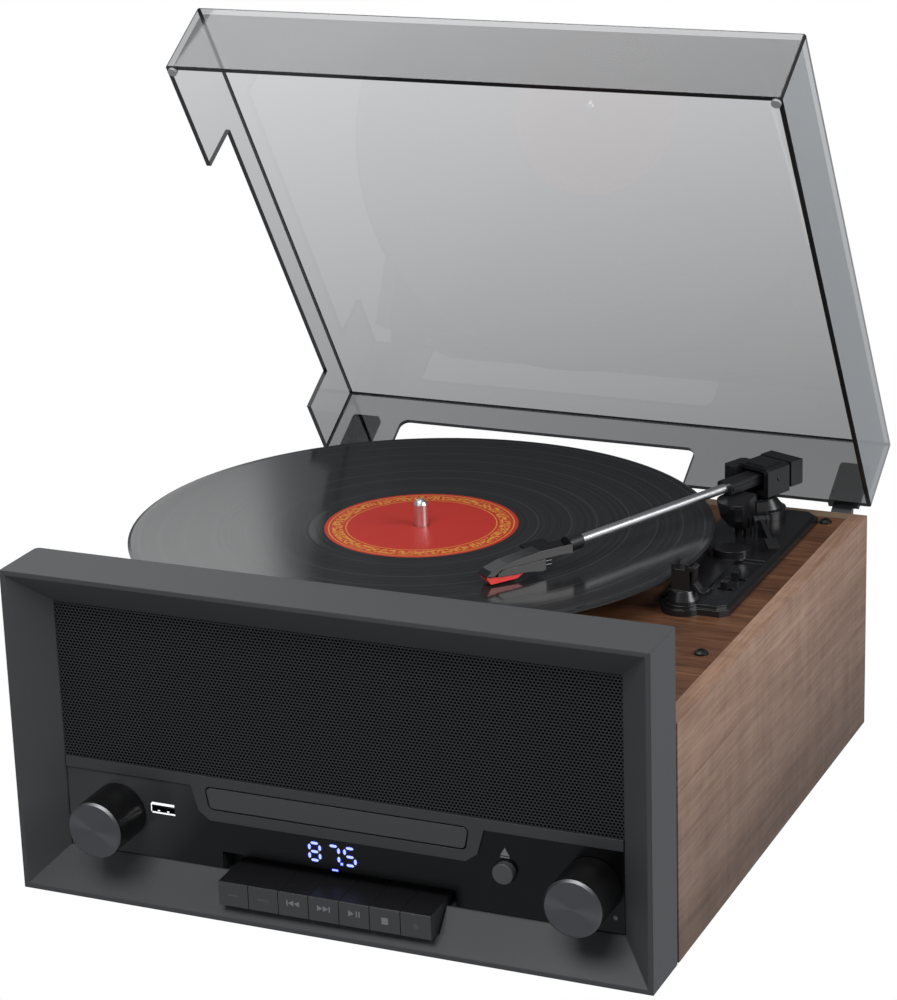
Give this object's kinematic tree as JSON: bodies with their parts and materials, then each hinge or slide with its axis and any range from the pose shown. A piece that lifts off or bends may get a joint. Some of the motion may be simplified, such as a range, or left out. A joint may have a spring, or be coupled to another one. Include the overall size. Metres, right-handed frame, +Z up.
{
  "type": "compact music centre with turntable",
  "caption": "Veneered compact stereo with a record deck, tonearm, hinged smoked lid, disc tray, piano keys, two knobs and a bevelled dark front frame.",
  "frame": {"origin": "on the floor under the middle of the whole part, lid open", "axes": "+X right seen from the front, +Y to the rear, +Z up"},
  "size_m": [0.3498, 0.3924, 0.3963],
  "materials": {
    "wood_veneer_side": "satin",
    "wood_veneer_top": "satin",
    "board": "matte",
    "frame_plastic": "satin",
    "panel_plastic": "satin",
    "inlay_gloss": "gloss",
    "grille_metal": "matte",
    "knob_plastic": "satin",
    "key_plastic": "satin",
    "black_plastic": "satin",
    "tube_metal": "satin",
    "steel": "satin",
    "dark_steel": "satin",
    "brass_bush": "satin",
    "platter_metal": "satin",
    "mat_rubber": "matte",
    "foot_rubber": "matte",
    "vinyl": "gloss",
    "stylus_red": "gloss",
    "smoked_acrylic": "gloss",
    "board_green": "satin",
    "display_glass": "gloss",
    "cone_paper": "matte"
  },
  "bodies": {
    "cabinet": {"side_panel_left": "wood_veneer_side", "side_panel_right": "wood_veneer_side", "top_deck": "wood_veneer_top", "bottom_panel": "board", "rear_panel": "board", "feet": "foot_rubber", "front_frame": "frame_plastic", "speaker_grille": "grille_metal", "control_panel": "panel_plastic", "gloss_inlay": "inlay_gloss", "cd_drive": "black_plastic", "rear_sockets": "black_plastic", "drive_motor": "black_plastic", "arm_base_plate": "black_plastic", "arm_rest": "black_plastic", "pivot_turret": "black_plastic", "hinge_bracket_left": "dark_steel", "hinge_bracket_right": "dark_steel", "deck_screws": "dark_steel", "usb_socket": "steel", "control_board": "board_green", "main_board": "board_green", "led_display": "display_glass", "speaker_left": "cone_paper", "speaker_right": "cone_paper", "drive_belt": "mat_rubber", "bearing_bush": "brass_bush"},
    "turntable": {"platter": "platter_metal", "platter_mat": "mat_rubber", "record": "vinyl", "spindle": "steel"},
    "pulley": {"motor_pulley": "steel"},
    "disc_spindle": {"cd_hub": "black_plastic"},
    "disc_drawer": {"cd_tray": "black_plastic", "cd_tray_front": "panel_plastic"},
    "tuning": {"knob_tuning": "knob_plastic"},
    "volume": {"knob_volume": "knob_plastic"},
    "eject": {"eject_button": "black_plastic"},
    "arm_bearing": {"pivot_housing": "black_plastic"},
    "arm": {"arm_tube": "tube_metal", "headshell": "black_plastic", "cartridge": "black_plastic", "stylus": "stylus_red", "counterweight": "black_plastic"},
    "lift": {"lift_platform": "black_plastic"},
    "lift_lever": {"cue_lever": "black_plastic"},
    "clip": {"rest_clip": "black_plastic"},
    "speed": {"speed_switch": "black_plastic"},
    "autostop": {"autostop_switch": "black_plastic"},
    "cover": {"lid": "smoked_acrylic", "lid_bumpers": "mat_rubber", "hinge_leaf_left": "black_plastic", "hinge_leaf_right": "black_plastic"},
    "k_power": {"key_power": "key_plastic"},
    "k_source": {"key_source": "key_plastic"},
    "k_previous": {"key_previous": "key_plastic"},
    "k_next": {"key_next": "key_plastic"},
    "k_play": {"key_play": "key_plastic"},
    "k_stop": {"key_stop": "key_plastic"},
    "k_record": {"key_record": "key_plastic"}
  },
  "joints": [
    {"name": "platter_spin", "type": "hinge", "parent": "cabinet", "child": "turntable", "pos_m": [-0.0241, 0.01653, 0.122], "axis": [0, 0, 1], "continuous": true},
    {"name": "pulley_spin", "type": "hinge", "parent": "cabinet", "child": "pulley", "pos_m": [-0.0861, -0.04547, 0.122], "axis": [0, 0, 1], "continuous": true},
    {"name": "disc_spin", "type": "hinge", "parent": "cabinet", "child": "disc_spindle", "pos_m": [0.0124, -0.10217, 0.05], "axis": [0, 0, 1], "continuous": true},
    {"name": "tray_slide", "type": "slide", "parent": "cabinet", "child": "disc_drawer", "axis": [0, -1, 0], "range_m": [0, 0.13]},
    {"name": "tuning_turn", "type": "hinge", "parent": "cabinet", "child": "tuning", "pos_m": [-0.1029, -0.18617, 0.0453], "axis": [0, -1, 0], "continuous": true},
    {"name": "volume_turn", "type": "hinge", "parent": "cabinet", "child": "volume", "pos_m": [0.1404, -0.18617, 0.0453], "axis": [0, -1, 0], "range_deg": [-150, 150]},
    {"name": "press_power", "type": "slide", "parent": "cabinet", "child": "k_power", "axis": [0, 1, 0], "range_m": [0, 0.002], "stiffness_N_per_m": 180},
    {"name": "press_source", "type": "slide", "parent": "cabinet", "child": "k_source", "axis": [0, 1, 0], "range_m": [0, 0.002], "stiffness_N_per_m": 180},
    {"name": "press_previous", "type": "slide", "parent": "cabinet", "child": "k_previous", "axis": [0, 1, 0], "range_m": [0, 0.002], "stiffness_N_per_m": 180},
    {"name": "press_next", "type": "slide", "parent": "cabinet", "child": "k_next", "axis": [0, 1, 0], "range_m": [0, 0.002], "stiffness_N_per_m": 180},
    {"name": "press_play", "type": "slide", "parent": "cabinet", "child": "k_play", "axis": [0, 1, 0], "range_m": [0, 0.002], "stiffness_N_per_m": 180},
    {"name": "press_stop", "type": "slide", "parent": "cabinet", "child": "k_stop", "axis": [0, 1, 0], "range_m": [0, 0.002], "stiffness_N_per_m": 180},
    {"name": "press_record", "type": "slide", "parent": "cabinet", "child": "k_record", "axis": [0, 1, 0], "range_m": [0, 0.002], "stiffness_N_per_m": 180},
    {"name": "press_eject", "type": "slide", "parent": "cabinet", "child": "eject", "axis": [0, 1, 0], "range_m": [0, 0.0015], "stiffness_N_per_m": 160},
    {"name": "arm_swing", "type": "hinge", "parent": "cabinet", "child": "arm_bearing", "pos_m": [0.1279, 0.11683, 0.142], "axis": [0, 0, 1], "range_deg": [-18, 23.5]},
    {"name": "arm_raise", "type": "hinge", "parent": "arm_bearing", "child": "arm", "pos_m": [0.1279, 0.11683, 0.1498], "axis": [-0.9212, 0.3891, 0], "range_deg": [-0.05, 7]},
    {"name": "lift_move", "type": "slide", "parent": "cabinet", "child": "lift", "axis": [0, 0, 1], "range_m": [-0.003, 0]},
    {"name": "lever_turn", "type": "hinge", "parent": "cabinet", "child": "lift_lever", "pos_m": [0.137, 0.08323, 0.1367], "axis": [-0.8348, -0.5505, 0], "range_deg": [-2, 30]},
    {"name": "clip_turn", "type": "hinge", "parent": "cabinet", "child": "clip", "pos_m": [0.1358, -0.01617, 0.1443], "axis": [0, -1, 0], "range_deg": [0, 25]},
    {"name": "speed_slide", "type": "slide", "parent": "cabinet", "child": "speed", "axis": [1, 0, 0], "range_m": [-0.0045, 0.0045]},
    {"name": "autostop_slide", "type": "slide", "parent": "cabinet", "child": "autostop", "axis": [1, 0, 0], "range_m": [-0.002, 0.002]},
    {"name": "lid_turn", "type": "hinge", "parent": "cabinet", "child": "cover", "pos_m": [0.0124, 0.15273, 0.1121], "axis": [-1, 0, 0], "range_deg": [-57.5, 3]}
  ],
  "couplings": [
    {"joint": "pulley_spin", "follows": "platter_spin", "ratio": 9.3721},
    {"joint": "lever_turn", "follows": "lift_move", "rad_per_m": -174.5}
  ]
}
